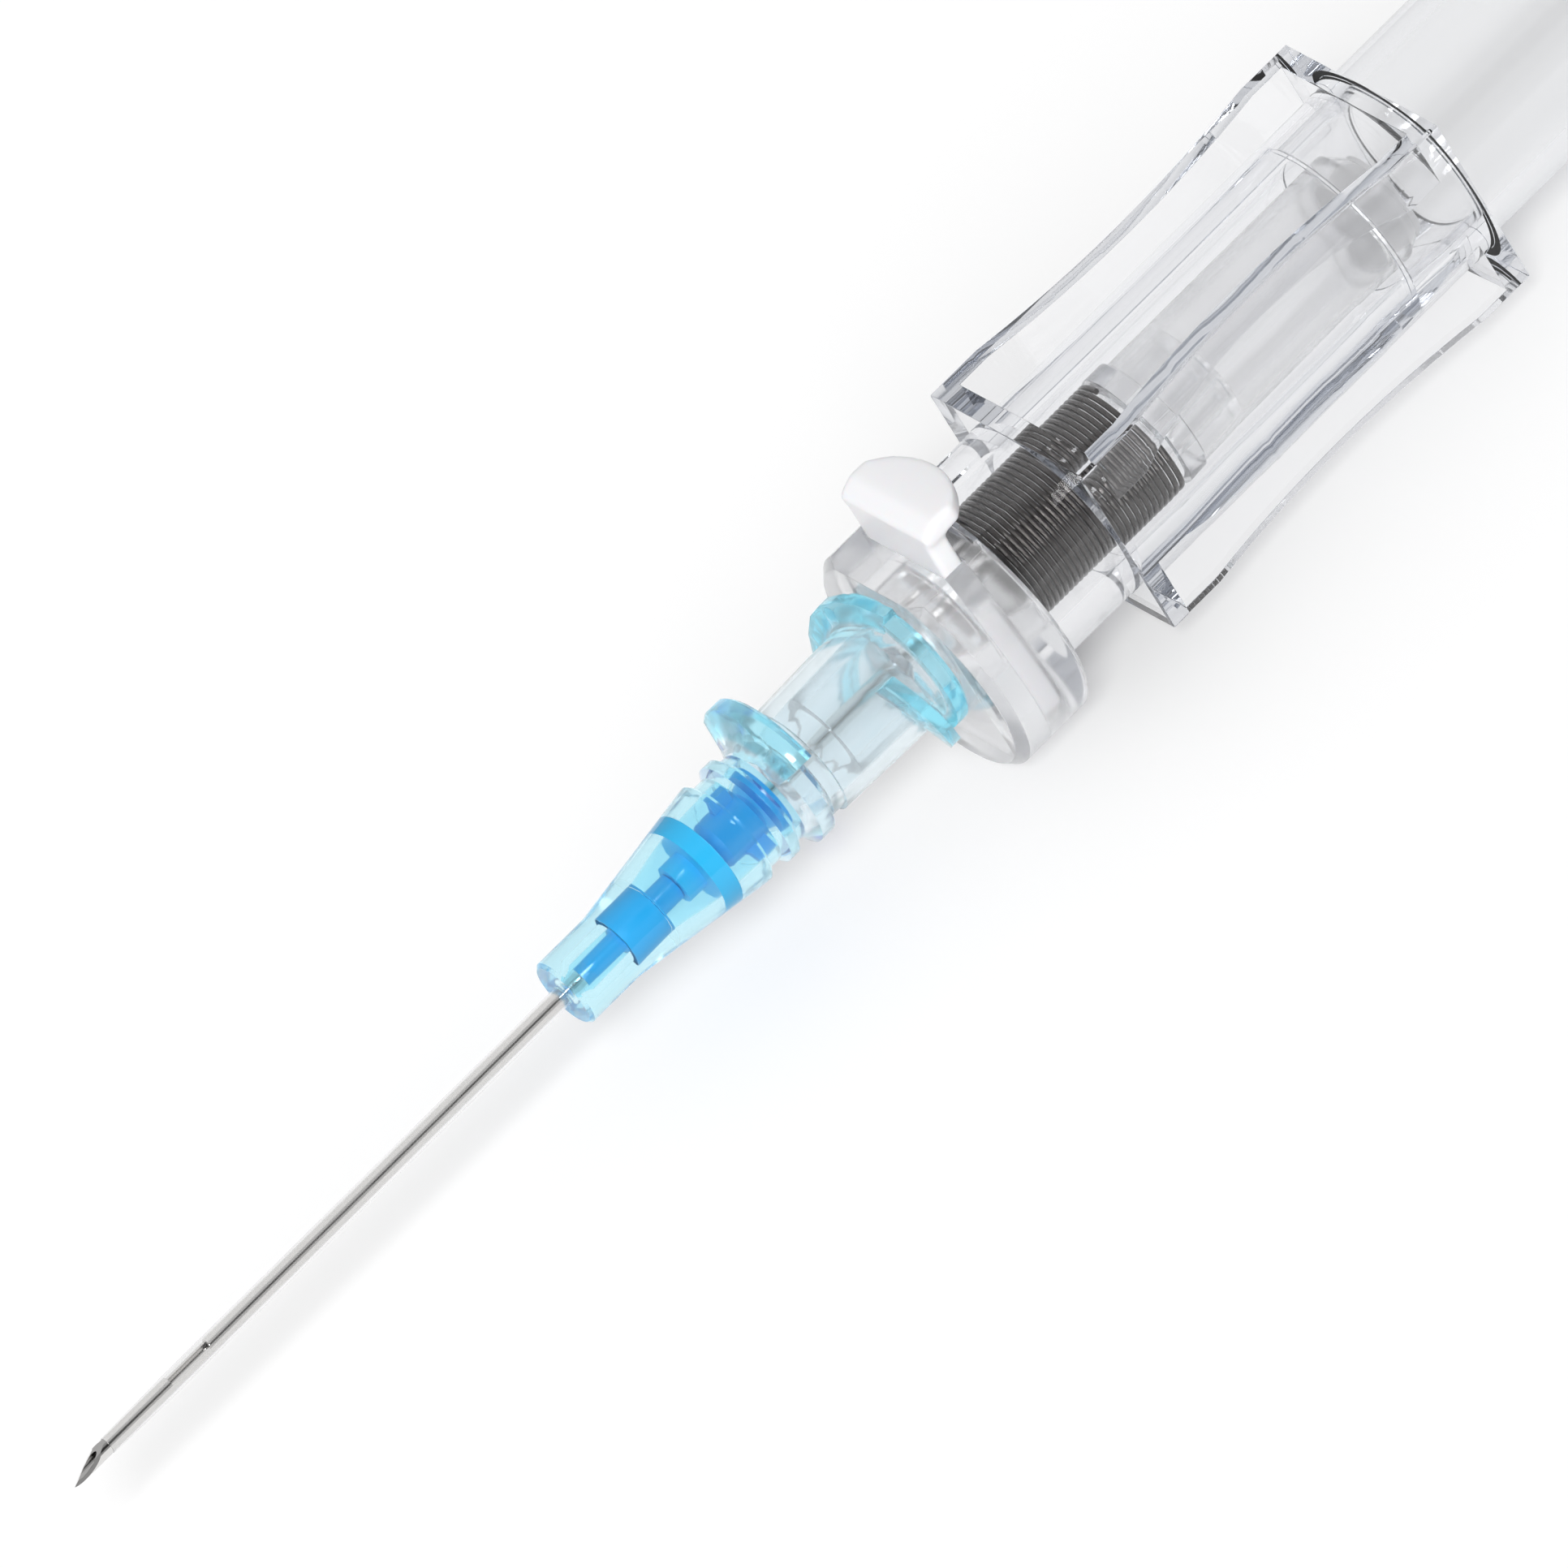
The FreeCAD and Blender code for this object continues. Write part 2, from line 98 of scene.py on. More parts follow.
# Room, and what mirrored rays see of it: a dark gap between two soft boxes, dusk around it, and white beyond
ROOM_STRENGTH = 0.60
ROOM_LOW = (0.88, 0.88, 0.89, 1)
ROOM_LOW_AT = 0.05
ROOM_HIGH_AT = 0.6
GAP_HEIGHT = math.radians(40.6)
GAP_HALF = math.radians(11)
GAP_SOFTNESS = 0.4
GAP_LEVEL = 0.06
DUSK_HALF = math.radians(44)
DUSK_SOFTNESS = 0.15
DUSK = 0.6
SKIN_SHINE = 0.5
WALL_HALF = math.radians(28)
WALL_SOFTNESS = 0.2
WALL_LEVEL = 0.2
INSIDE_DEPTH = 2.0
INSIDE_REACH = 1.2

# Floor, in metres
FLOOR_SIZE = 3.0
FLOOR_SHINE = 0.7
FLOOR_GREY = (0.7, 0.7, 0.7, 1)
FLOOR_DROP = 0.00002

WHITE = (1, 1, 1, 1)
BOUNCES = 40


def place_camera():
    side = Vector((math.cos(VIEW_TURN), -math.sin(VIEW_TURN), 0))
    back = Vector((
        -math.sin(VIEW_TURN) * math.cos(VIEW_RISE),
        -math.cos(VIEW_TURN) * math.cos(VIEW_RISE),
        math.sin(VIEW_RISE)))
    over = back.cross(side)
    right = side * math.cos(VIEW_ROLL) - over * math.sin(VIEW_ROLL)
    up = side * math.sin(VIEW_ROLL) + over * math.cos(VIEW_ROLL)
    camera_data = bpy.data.cameras.new("camera")
    camera_data.sensor_width = SENSOR
    camera_data.lens = SENSOR * VIEW_DISTANCE / VIEW_WIDTH
    camera_data.clip_start = CLIP_START
    camera_data.clip_end = CLIP_END
    camera = bpy.data.objects.new("camera", camera_data)
    turn = Matrix((right, up, back)).transposed().to_4x4()
    camera.matrix_world = Matrix.Translation(VIEW_CENTRE + back * VIEW_DISTANCE) @ turn
    bpy.context.collection.objects.link(camera)
    bpy.context.scene.camera = camera


def make_lamp(name, direction, strength, angle):
    lamp_data = bpy.data.lights.new(name, "SUN")
    lamp_data.energy = strength
    lamp_data.angle = angle
    lamp = bpy.data.objects.new(name, lamp_data)
    lamp.rotation_euler = direction.to_track_quat("Z", "Y").to_euler()
    bpy.context.collection.objects.link(lamp)


# Shader helpers

def new_material(name):
    material = bpy.data.materials.new(name)
    material.use_nodes = True
    tree = material.node_tree
    tree.nodes.clear()
    return material, tree


def add_node(tree, kind, **values):
    node = tree.nodes.new(kind)
    for name, value in values.items():
        node.inputs[name.replace("_", " ")].default_value = value
    return node


def fill(tree, socket, value):
    """Links a socket to another node's output, or else gives it a constant."""
    if isinstance(value, bpy.types.NodeSocket):
        tree.links.new(value, socket)
    else:
        socket.default_value = value


def arithmetic(tree, operation, *values):
    node = tree.nodes.new("ShaderNodeMath")
    node.operation = operation
    for socket, value in zip(node.inputs, values):
        fill(tree, socket, value)
    return node.outputs["Value"]


def vector_arithmetic(tree, operation, *values):
    node = tree.nodes.new("ShaderNodeVectorMath")
    node.operation = operation
    for socket, value in zip(node.inputs, values):
        fill(tree, socket, value)
    return node.outputs["Value" if operation == "LENGTH" else "Vector"]


def mapped(tree, value, from_low, from_high, to_low=0.0, to_high=1.0, soft=False):
    """A value carried from one range to another and held at the range's ends."""
    node = tree.nodes.new("ShaderNodeMapRange")
    if soft:
        node.interpolation_type = "SMOOTHSTEP"
    for name, given in (("Value", value), ("From Min", from_low), ("From Max", from_high),
                        ("To Min", to_low), ("To Max", to_high)):
        fill(tree, node.inputs[name], given)
    return node.outputs["Result"]


def mixed_colour(tree, share, first, second):
    node = tree.nodes.new("ShaderNodeMix")
    node.data_type = "RGBA"
    for name, given in (("Factor", share), ("A", first), ("B", second)):
        fill(tree, next(s for s in node.inputs if s.name == name and s.enabled), given)
    return next(s for s in node.outputs if s.enabled)


def mixed_shader(tree, share, first, second):
    node = tree.nodes.new("ShaderNodeMixShader")
    for socket, given in zip(node.inputs, (share, first, second)):
        tree.links.new(given, socket)
    return node.outputs["Shader"]


def join_rays(tree, names):
    """One where the ray is any of the named kinds, and zero elsewhere."""
    seen = tree.nodes.new("ShaderNodeLightPath")
    value = seen.outputs[names[0]]
    for name in names[1:]:
        value = arithmetic(tree, "MAXIMUM", value, seen.outputs[name])
    return value


def new_group(name, inlets, outlets):
    """An effect group with its inlet and outlet nodes. Inlets are names with a default, or None for a colour."""
    group = bpy.data.node_groups.new(name, "ShaderNodeTree")
    for label, default in inlets.items():
        kind = "NodeSocketColor" if default is None else "NodeSocketFloat"
        socket = group.interface.new_socket(label, in_out="INPUT", socket_type=kind)
        if default is not None:
            socket.default_value = default
    for label, kind in outlets.items():
        group.interface.new_socket(label, in_out="OUTPUT", socket_type=kind)
    return group, group.nodes.new("NodeGroupInput").outputs, group.nodes.new("NodeGroupOutput").inputs


def make_surface_group():
    """Faint unevenness of a moulded or drawn surface: a roughness value and a height."""
    group, given, result = new_group(
        "surface_unevenness",
        {"Scale": 400.0, "Stretch": 1.0, "Low Roughness": 0.1, "High Roughness": 0.2},
        {"Roughness": "NodeSocketFloat", "Height": "NodeSocketFloat"})
    coordinates = group.nodes.new("ShaderNodeTexCoord")
    combine = add_node(group, "ShaderNodeCombineXYZ", Y=1.0, Z=1.0)
    group.links.new(given["Stretch"], combine.inputs["X"])
    stretched = vector_arithmetic(group, "MULTIPLY", coordinates.outputs["Object"], combine.outputs["Vector"])
    noise = add_node(group, "ShaderNodeTexNoise", Detail=3.0)
    group.links.new(given["Scale"], noise.inputs["Scale"])
    group.links.new(stretched, noise.inputs["Vector"])
    rough = mapped(group, noise.outputs["Fac"], 0.3, 0.7, given["Low Roughness"], given["High Roughness"])
    group.links.new(rough, result["Roughness"])
    group.links.new(noise.outputs["Fac"], result["Height"])
    return group


def make_depth_group():
    """A colour that deepens away from the needle's axis, where the moulding is thick."""
    group, given, result = new_group(
        "thick_tint",
        {"Inner Radius": 0.0, "Outer Radius": 0.0, "Thin Colour": None, "Thick Colour": None},
        {"Colour": "NodeSocketColor"})
    coordinates = group.nodes.new("ShaderNodeTexCoord")
    centred = vector_arithmetic(group, "SUBTRACT", coordinates.outputs["Object"], on_axis(0))
    across = vector_arithmetic(group, "MULTIPLY", centred, (0, 1, 1))
    radius = vector_arithmetic(group, "LENGTH", across)
    share = mapped(group, radius, given["Inner Radius"], given["Outer Radius"], soft=True)
    tint = mixed_colour(group, share, given["Thin Colour"], given["Thick Colour"])
    group.links.new(tint, result["Colour"])
    return group


UNEVENNESS = make_surface_group()
THICK_TINT = make_depth_group()

# Colours of the lamp light that comes through clear plastic, and of the room light
HAZE = (0.76, 0.76, 0.765)
HUB_HAZE = (0.75, 0.75, 0.745)
ROOM_HAZE = (0.975, 0.975, 0.975, 1)
SUBSURFACE_DEPTH = 0.6 * MM


def add_thick_tint(material, inner, outer, thin, thick):
    """Tints a clear moulding from the thin colour at the inner radius to the thick one at the outer radius."""
    tree = material.node_tree
    shader = next(node for node in tree.nodes if node.type == "BSDF_PRINCIPLED")
    tint = tree.nodes.new("ShaderNodeGroup")
    tint.node_tree = THICK_TINT
    tint.inputs["Inner Radius"].default_value = inner * MM
    tint.inputs["Outer Radius"].default_value = outer * MM
    tint.inputs["Thin Colour"].default_value = (*thin, 1)
    tint.inputs["Thick Colour"].default_value = (*thick, 1)
    tree.links.new(tint.outputs["Colour"], shader.inputs["Base Color"])


def add_unevenness(tree, shader, low, high, scale, stretch, bump, depth):
    uneven = tree.nodes.new("ShaderNodeGroup")
    uneven.node_tree = UNEVENNESS
    uneven.inputs["Scale"].default_value = scale
    uneven.inputs["Stretch"].default_value = stretch
    uneven.inputs["Low Roughness"].default_value = low
    uneven.inputs["High Roughness"].default_value = high
    tree.links.new(uneven.outputs["Roughness"], shader.inputs["Roughness"])
    if bump:
        relief = add_node(tree, "ShaderNodeBump", Strength=bump, Distance=depth)
        tree.links.new(uneven.outputs["Height"], relief.inputs["Height"])
        tree.links.new(relief.outputs["Normal"], shader.inputs["Normal"])


def plain_finish(name, colour, low, high, metallic=0.0, scale=400.0, stretch=1.0, bump=0.0, depth=0.00002,
                 subsurface=0.0):
    """Solid plastic, rubber or metal, with roughness from low to high."""
    material, tree = new_material(name)
    shader = add_node(tree, "ShaderNodeBsdfPrincipled", Metallic=metallic, IOR=1.5)
    shader.inputs["Base Color"].default_value = (*colour, 1)
    shader.inputs["Subsurface Weight"].default_value = subsurface
    shader.inputs["Subsurface Scale"].default_value = SUBSURFACE_DEPTH
    output = tree.nodes.new("ShaderNodeOutputMaterial")
    tree.links.new(shader.outputs["BSDF"], output.inputs["Surface"])
    add_unevenness(tree, shader, low, high, scale, stretch, bump, depth)
    return material


def clear_finish(name, colour, low, high, absorbs, density, shadow, transmission=1.0, bump=0.0):
    """See-through plastic. Lamp light goes straight through, in the shadow's colour, and room light hardly dimmed."""
    material, tree = new_material(name)
    shader = add_node(tree, "ShaderNodeBsdfPrincipled", IOR=1.5)
    shader.inputs["Base Color"].default_value = (*colour, 1)
    shader.inputs["Transmission Weight"].default_value = transmission
    clear = tree.nodes.new("ShaderNodeBsdfTransparent")
    dimming = mixed_colour(tree, join_rays(tree, ["Is Diffuse Ray"]), (*shadow, 1), ROOM_HAZE)
    tree.links.new(dimming, clear.inputs["Color"])
    absorption = tree.nodes.new("ShaderNodeVolumeAbsorption")
    absorption.inputs["Color"].default_value = (*absorbs, 1)
    absorption.inputs["Density"].default_value = density
    output = tree.nodes.new("ShaderNodeOutputMaterial")
    straight = join_rays(tree, ["Is Shadow Ray", "Is Diffuse Ray"])
    surface = mixed_shader(tree, straight, shader.outputs["BSDF"], clear.outputs["BSDF"])
    tree.links.new(surface, output.inputs["Surface"])
    tree.links.new(absorption.outputs["Volume"], output.inputs["Volume"])
    add_unevenness(tree, shader, low, high, scale=250.0, stretch=1.0, bump=bump, depth=0.00002)
    return material


def dress(target, material):
    target.data.materials.clear()
    target.data.materials.append(material)


# Studio floor and world

def make_floor():
    bm = bmesh.new()
    bmesh.ops.create_grid(bm, x_segments=1, y_segments=1, size=FLOOR_SIZE / 2)
    bmesh.ops.translate(bm, vec=(0, 0, -FLOOR_DROP), verts=bm.verts)
    mesh = bpy.data.meshes.new("floor")
    bm.to_mesh(mesh)
    bm.free()
    floor = bpy.data.objects.new("floor", mesh)
    bpy.context.collection.objects.link(floor)
    material, tree = new_material("floor_white")
    shown = join_rays(tree, ["Is Camera Ray", "Is Glossy Ray", "Is Transmission Ray"])
    diffuse = tree.nodes.new("ShaderNodeBsdfDiffuse")
    tree.links.new(mixed_colour(tree, shown, FLOOR_GREY, WHITE), diffuse.inputs["Color"])
    white = add_node(tree, "ShaderNodeEmission", Strength=1.0)
    share = arithmetic(tree, "MULTIPLY", join_rays(tree, ["Is Transmission Ray"]), FLOOR_SHINE)
    output = tree.nodes.new("ShaderNodeOutputMaterial")
    surface = mixed_shader(tree, share, diffuse.outputs["BSDF"], white.outputs["Emission"])
    tree.links.new(surface, output.inputs["Surface"])
    dress(floor, material)


def background(tree, colour, strength):
    node = tree.nodes.new("ShaderNodeBackground")
    fill(tree, node.inputs["Color"], colour)
    fill(tree, node.inputs["Strength"], strength)
    return node.outputs["Background"]


def make_world():
    """A pale room. Bright metal also shows the dark gap between the two soft boxes on the near side."""
    world = bpy.data.worlds.new("studio")
    bpy.context.scene.world = world
    world.use_nodes = True
    tree = world.node_tree
    tree.nodes.clear()
    coordinates = tree.nodes.new("ShaderNodeTexCoord")
    split = tree.nodes.new("ShaderNodeSeparateXYZ")
    tree.links.new(coordinates.outputs["Generated"], split.inputs["Vector"])

    # What lights the object, and what is seen straight or through clear plastic
    ramp = tree.nodes.new("ShaderNodeValToRGB")
    low_end, high_end = ramp.color_ramp.elements
    low_end.position, low_end.color = ROOM_LOW_AT, ROOM_LOW
    high_end.position, high_end.color = ROOM_HIGH_AT, WHITE
    tree.links.new(split.outputs["Z"], ramp.inputs["Fac"])
    room = background(tree, ramp.outputs["Color"], ROOM_STRENGTH)
    plain = background(tree, WHITE, 1.0)
    lit = mixed_shader(tree, join_rays(tree, ["Is Camera Ray", "Is Transmission Ray"]), room, plain)

    # What a mirrored ray sees, by how far its height on the near side is from the gap's
    near = arithmetic(tree, "MULTIPLY", split.outputs["Y"], -1.0)
    height = arithmetic(tree, "ARCTAN2", split.outputs["Z"], near)
    away = arithmetic(tree, "ABSOLUTE", arithmetic(tree, "SUBTRACT", height, GAP_HEIGHT))
    gap = mapped(tree, away, GAP_HALF * (1 - GAP_SOFTNESS), GAP_HALF * (1 + GAP_SOFTNESS), GAP_LEVEL, DUSK, soft=True)
    dusk = mapped(tree, away, DUSK_HALF * (1 - DUSK_SOFTNESS), DUSK_HALF * (1 + DUSK_SOFTNESS), 0.0, 1.0 - DUSK,
                  soft=True)
    seen = tree.nodes.new("ShaderNodeLightPath")
    skin = mapped(tree, seen.outputs["Transmission Depth"], 0.0, 1.0, SKIN_SHINE)
    dimmed = arithmetic(tree, "MULTIPLY", arithmetic(tree, "ADD", gap, dusk), skin)
    wall = mapped(tree, away, WALL_HALF * (1 - WALL_SOFTNESS), WALL_HALF * (1 + WALL_SOFTNESS), WALL_LEVEL)
    inside = arithmetic(tree, "COMPARE", seen.outputs["Transmission Depth"], INSIDE_DEPTH, INSIDE_REACH)
    level = tree.nodes.new("ShaderNodeMix")
    tree.links.new(inside, level.inputs["Factor"])
    tree.links.new(dimmed, level.inputs["A"])
    tree.links.new(wall, level.inputs["B"])
    boxes = background(tree, WHITE, level.outputs["Result"])

    mirrored = arithmetic(tree, "GREATER_THAN", seen.outputs["Glossy Depth"], 0.5)
    sharp = arithmetic(tree, "SUBTRACT", 1.0, seen.outputs["Is Diffuse Ray"])
    shows = arithmetic(tree, "MULTIPLY", mirrored, sharp)
    output = tree.nodes.new("ShaderNodeOutputWorld")
    tree.links.new(mixed_shader(tree, shows, lit, boxes), output.inputs["Surface"])


# Mesh helpers

WIRE_SIDES = 8
TURN_STEPS = 40
SHARP = math.radians(42)
FLAT = math.radians(0.5)
WELD = 0.0005


def finish_mesh(bm, name, edge=0.0, segments=3, limit=30.0, chosen=None):
    """Rounds the sharp edges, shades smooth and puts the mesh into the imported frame."""
    if edge:
        sharp = [e for e in bm.edges if e.is_manifold and e.calc_face_angle() > math.radians(limit)]
        if chosen:
            sharp = [e for e in sharp if chosen((e.verts[0].co + e.verts[1].co) / 2)]
        bmesh.ops.bevel(bm, geom=sharp, offset=edge, segments=segments, profile=0.5, affect="EDGES",
                        clamp_overlap=True, material=-1)
    bmesh.ops.transform(bm, matrix=TO_FRAME, verts=bm.verts)
    for face in bm.faces:
        face.smooth = True
    for corner in bm.edges:
        corner.smooth = not corner.is_manifold or corner.calc_face_angle() < SHARP
    mesh = bpy.data.meshes.new(name)
    bm.to_mesh(mesh)
    bm.free()
    piece = bpy.data.objects.new(name, mesh)
    bpy.context.collection.objects.link(piece)
    return piece


def even_normals(piece):
    shade = piece.modifiers.new("even_normals", "WEIGHTED_NORMAL")
    shade.keep_sharp = True


def rounded_copy(node, name, edge, limit=30.0, chosen=None):
    """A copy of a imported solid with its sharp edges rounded, as a mould leaves them."""
    source = bpy.data.objects[node]
    bm = bmesh.new()
    bm.from_mesh(source.data)
    bmesh.ops.transform(bm, matrix=TO_FRAME.inverted(), verts=bm.verts)
    bmesh.ops.remove_doubles(bm, verts=bm.verts, dist=WELD)
    bmesh.ops.dissolve_limit(bm, angle_limit=FLAT, use_dissolve_boundaries=False, verts=bm.verts, edges=bm.edges)
    bmesh.ops.recalc_face_normals(bm, faces=bm.faces)
    piece = finish_mesh(bm, name, edge, segments=2, limit=limit, chosen=chosen)
    even_normals(piece)
    return piece


def turned(outline, name, edge=0.0):
    """A piece turned about the needle's axis from a closed outline of stations and radii."""
    bm = bmesh.new()
    corners = [bm.verts.new((x, 0, r)) for x, r in outline]
    for first, second in zip(corners, corners[1:] + corners[:1]):
        bm.edges.new((first, second))
    bmesh.ops.spin(bm, geom=bm.verts[:] + bm.edges[:], cent=(0, 0, 0), axis=(1, 0, 0), dvec=(0, 0, 0),
                   angle=2 * math.pi, steps=TURN_STEPS * 2, use_merge=True, use_duplicate=False)
    bmesh.ops.remove_doubles(bm, verts=bm.verts, dist=WELD)
    bmesh.ops.recalc_face_normals(bm, faces=bm.faces)
    piece = finish_mesh(bm, name, edge)
    even_normals(piece)
    return piece


def wire_coil(front, rear, outer, wire, turns, name):
    """A close coil of round wire about the needle's axis."""
    coil_r = (outer - wire) / 2
    rise = (rear - front - wire) / turns
    bm = bmesh.new()
    bmesh.ops.create_circle(bm, segments=WIRE_SIDES, radius=wire / 2, cap_ends=True)
    stand = Matrix.Translation((front + wire / 2, 0, coil_r)) @ Matrix.Rotation(math.pi / 2, 4, "X")
    bmesh.ops.transform(bm, matrix=stand, verts=bm.verts)
    bmesh.ops.spin(bm, geom=bm.verts[:] + bm.edges[:] + bm.faces[:], cent=(0, 0, 0), axis=(1, 0, 0),
                   dvec=(rise / TURN_STEPS, 0, 0), angle=2 * math.pi * turns, steps=TURN_STEPS * turns,
                   use_merge=False, use_duplicate=False)
    bmesh.ops.recalc_face_normals(bm, faces=bm.faces)
    return finish_mesh(bm, name)


# Finishes: name, colour, lowest and highest roughness, and for clear ones what the plastic's depth absorbs,
# its density and the colour of the lamp light that passes
CLEAR_DEPTH = (0.84, 0.85, 0.87)
HUB_DEPTH = (0.5, 0.9, 1.0)
steel = plain_finish("needle_steel", (0.74, 0.73, 0.72), 0.10, 0.18, metallic=1.0, scale=9000, stretch=0.02,
                     bump=0.03, depth=0.000002)
spring_steel = plain_finish("spring_steel", (0.055, 0.049, 0.046), 0.18, 0.26, metallic=0.5, scale=3000)
ferrule_blue = plain_finish("ferrule_blue", (0.0, 0.42, 0.88), 0.30, 0.40, scale=1500, bump=0.1)
septum_blue = plain_finish("septum_blue", (0.0, 0.52, 0.93), 0.40, 0.50, scale=1500, bump=0.1)
actuator_blue = plain_finish("actuator_blue", (0.0, 0.36, 0.82), 0.30, 0.40, scale=1500, bump=0.1)
button_white = plain_finish("button_white", (0.86, 0.86, 0.88), 0.28, 0.40, scale=1800, bump=0.08,
                            subsurface=0.15)
vent_white = plain_finish("vent_white", (0.90, 0.90, 0.90), 0.7, 0.9, scale=6000, bump=0.5)
hub_blue = clear_finish("hub_blue", (0.60, 0.91, 1.0), 0.05, 0.12, HUB_DEPTH, 12, HUB_HAZE,
                        transmission=0.98, bump=0.03)
hub_milky = clear_finish("hub_milky", (0.82, 0.965, 1.0), 0.08, 0.15, HUB_DEPTH, 12, HUB_HAZE,
                         transmission=0.94, bump=0.03)
add_thick_tint(hub_milky, 2.7, 3.05, (0.88, 0.962, 1.0), (0.30, 0.83, 1.0))
tube_plastic = clear_finish("tube_plastic", (0.97, 0.97, 0.97), 0.06, 0.12, (0.7, 0.7, 0.7), 200, HAZE)
grip_clear = clear_finish("grip_clear", (0.985, 0.985, 0.99), 0.01, 0.04, CLEAR_DEPTH, 230, HAZE, bump=0.04)
collar_soft = clear_finish("collar_soft", (0.985, 0.985, 0.99), 0.12, 0.18, CLEAR_DEPTH, 120, HAZE,
                           transmission=0.90, bump=0.04)
carrier_clear = clear_finish("carrier_clear", (0.99, 0.99, 0.99), 0.08, 0.14, CLEAR_DEPTH, 50, HAZE, bump=0.04)
glue_clear = clear_finish("glue_clear", (1, 1, 1), 0.05, 0.12, (0.8, 0.8, 0.82), 60, HAZE)
chamber_clear = clear_finish("chamber_clear", (1.0, 1.0, 1.0), 0.14, 0.22, (0.84, 0.85, 0.86), 20, HAZE,
                             transmission=0.97)
barrel_clear = clear_finish("barrel_clear", (0.985, 0.985, 0.985), 0.03, 0.08, CLEAR_DEPTH, 330, HAZE, bump=0.03)


# Turned pieces. The ferrule and the septum sit a little into the hub's moulding, so that no air shows between them.
BORE_R = 0.36
TUBE_R = 0.45
TUBE_BORE_R = 0.375
TUBE_MOUTH_R = 0.355
TUBE_TIP_R = 0.375
TUBE_TAPER = 3.4
TUBE_TIP_WALL = 1.0
TUBE_REAR = 1.45
FERRULE_TIP_R = 0.40
FERRULE_TIP = 0.6
FERRULE_TIP_REAR_R = 0.46
FERRULE_NOSE = 2.2
FERRULE_NOSE_R = 0.50
FERRULE_R = 0.82
FERRULE_TAIL = 1.25
FERRULE_TAIL_R = 0.62
FERRULE_EDGE = 0.03
SEPTUM_R = 1.66
SEPTUM_WIDTH = 0.85
SEPTUM_BOSS_R = 0.9
SPRING_ACROSS = 5.5
SPRING_WIRE = 0.25
SPRING_TURNS = 28

# Moulded pieces
CONE_REAR = 9.6
CONE_BORE_R = 1.4
BODY_BORE_R = 2.3
MILKY_FROM = 11.4
COLLAR_LENGTH = 4.1
BUTTON_GRAIN = 0.12
BUTTON_SOFTENING = 12


def on_hub_outside(spot):
    return math.hypot(spot.y, spot.z) > (CONE_BORE_R if spot.x < CONE_REAR else BODY_BORE_R)


def fit_piece(piece, node, material, body):
    dress(piece, material)
    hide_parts(node)
    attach(piece, body)


def add_second_finish(piece, material, belongs):
    """Gives the faces at some stations along the needle another finish of the same moulding."""
    piece.data.materials.append(material)
    for face in piece.data.polygons:
        if belongs((face.center.x - NOSE_X) / MM):
            face.material_index = 1


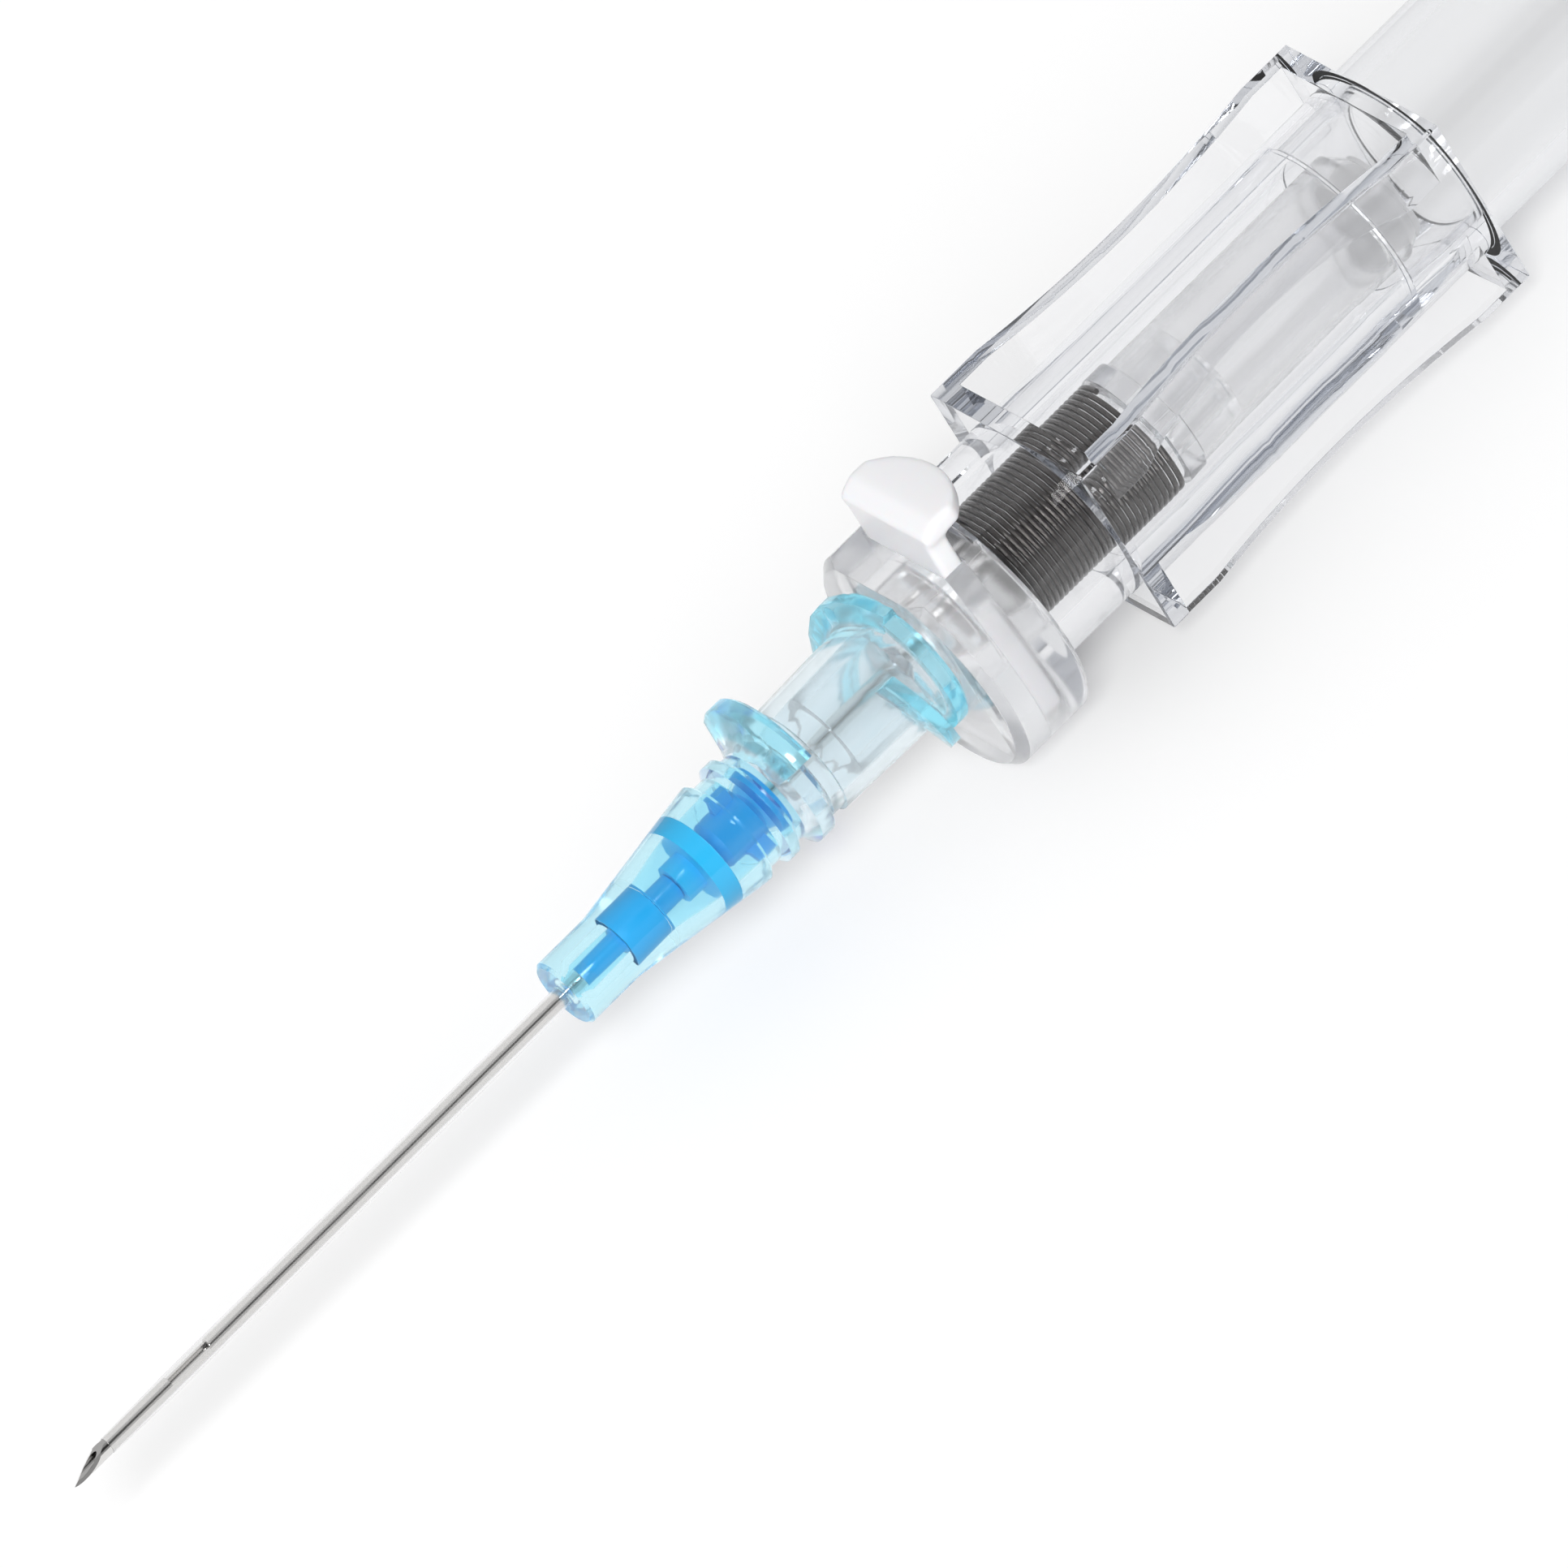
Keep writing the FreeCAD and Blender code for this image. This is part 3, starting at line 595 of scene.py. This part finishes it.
def make_moulded_pieces():
    for node, material in (("needle", steel), ("valve_actuator", actuator_blue),
                           ("vent_plug", vent_white), ("needle_glue", glue_clear)):
        dress(bpy.data.objects[node], material)
    for node, name, material, edge, body, slot in (
            ("needle_hub", "clear_carrier", carrier_clear, 0.05, "needle_carrier", "carrier_clear"),
            ("flash_chamber", "frosted_chamber", chamber_clear, 0.05, "needle_carrier", "chamber_clear"),
            ("barrel", "clear_barrel", barrel_clear, 0.08, "housing", "barrel_clear"),
            ("end_cap", "tail_cap", barrel_clear, 0.08, "housing", "cap_clear")):
        fit_piece(rounded_copy(node, name, edge), node, material, body)
    hub = rounded_copy("catheter_hub", "blue_hub", 0.11, limit=50.0, chosen=on_hub_outside)
    fit_piece(hub, "catheter_hub", hub_blue, "catheter")
    add_second_finish(hub, hub_milky, lambda x: x > MILKY_FROM)
    grip_front, _ = station("grip")
    grip = rounded_copy("grip", "clear_grip", 0.10)
    fit_piece(grip, "grip", grip_clear, "housing")
    add_second_finish(grip, collar_soft, lambda x: x < grip_front + COLLAR_LENGTH)
    button = rounded_copy("button", "white_button", 0.25)
    button.modifiers.clear()
    skin = button.modifiers.new("skin", "REMESH")
    skin.mode = "VOXEL"
    skin.voxel_size = BUTTON_GRAIN * MM
    skin.use_smooth_shade = True
    soften = button.modifiers.new("soften", "SMOOTH")
    soften.factor = 0.5
    soften.iterations = BUTTON_SOFTENING
    fit_piece(button, "button", button_white, "button")


def make_turned_pieces():
    front, _ = station("catheter_tube")
    tube = turned([
        (front, TUBE_MOUTH_R), (front, TUBE_TIP_R), (front + TUBE_TAPER, TUBE_R), (TUBE_REAR, TUBE_R),
        (TUBE_REAR, TUBE_BORE_R), (front + TUBE_TIP_WALL, TUBE_BORE_R)], "soft_tube")
    fit_piece(tube, "catheter_tube", tube_plastic, "catheter")
    front, rear = station("tube_ferrule")
    step = front + FERRULE_NOSE
    tail = rear - FERRULE_TAIL
    ferrule = turned([
        (front, BORE_R), (front, FERRULE_TIP_R), (front + FERRULE_TIP, FERRULE_TIP_REAR_R), (step, FERRULE_NOSE_R),
        (step, FERRULE_R), (tail, FERRULE_R), (tail, FERRULE_TAIL_R), (rear, FERRULE_TAIL_R),
        (rear, BORE_R)], "wedge_ferrule", FERRULE_EDGE)
    fit_piece(ferrule, "tube_ferrule", ferrule_blue, "catheter")
    front, rear = station("valve_septum")
    seat = rear - SEPTUM_WIDTH
    septum = turned([
        (front, BORE_R), (front, SEPTUM_BOSS_R), (seat, SEPTUM_BOSS_R), (seat, SEPTUM_R),
        (rear, SEPTUM_R), (rear, BORE_R)], "soft_septum")
    fit_piece(septum, "valve_septum", septum_blue, "catheter")
    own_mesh(septum)


def make_spring():
    front, rear = station("spring")
    coil = wire_coil(front, rear, SPRING_ACROSS, SPRING_WIRE, SPRING_TURNS, "wire_spring")
    dress(coil, spring_steel)
    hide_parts("spring")
    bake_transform(coil)


place_camera()
make_floor()
make_world()
make_lamp("key", KEY_DIRECTION, KEY_STRENGTH, KEY_ANGLE)
make_lamp("fill", FILL_DIRECTION, FILL_STRENGTH, FILL_ANGLE)
make_moulded_pieces()
make_turned_pieces()
make_spring()

bpy.context.scene.view_settings.view_transform = "Standard"
for limit in ("max_bounces", "glossy_bounces", "transmission_bounces", "transparent_max_bounces"):
    setattr(bpy.context.scene.cycles, limit, BOUNCES)
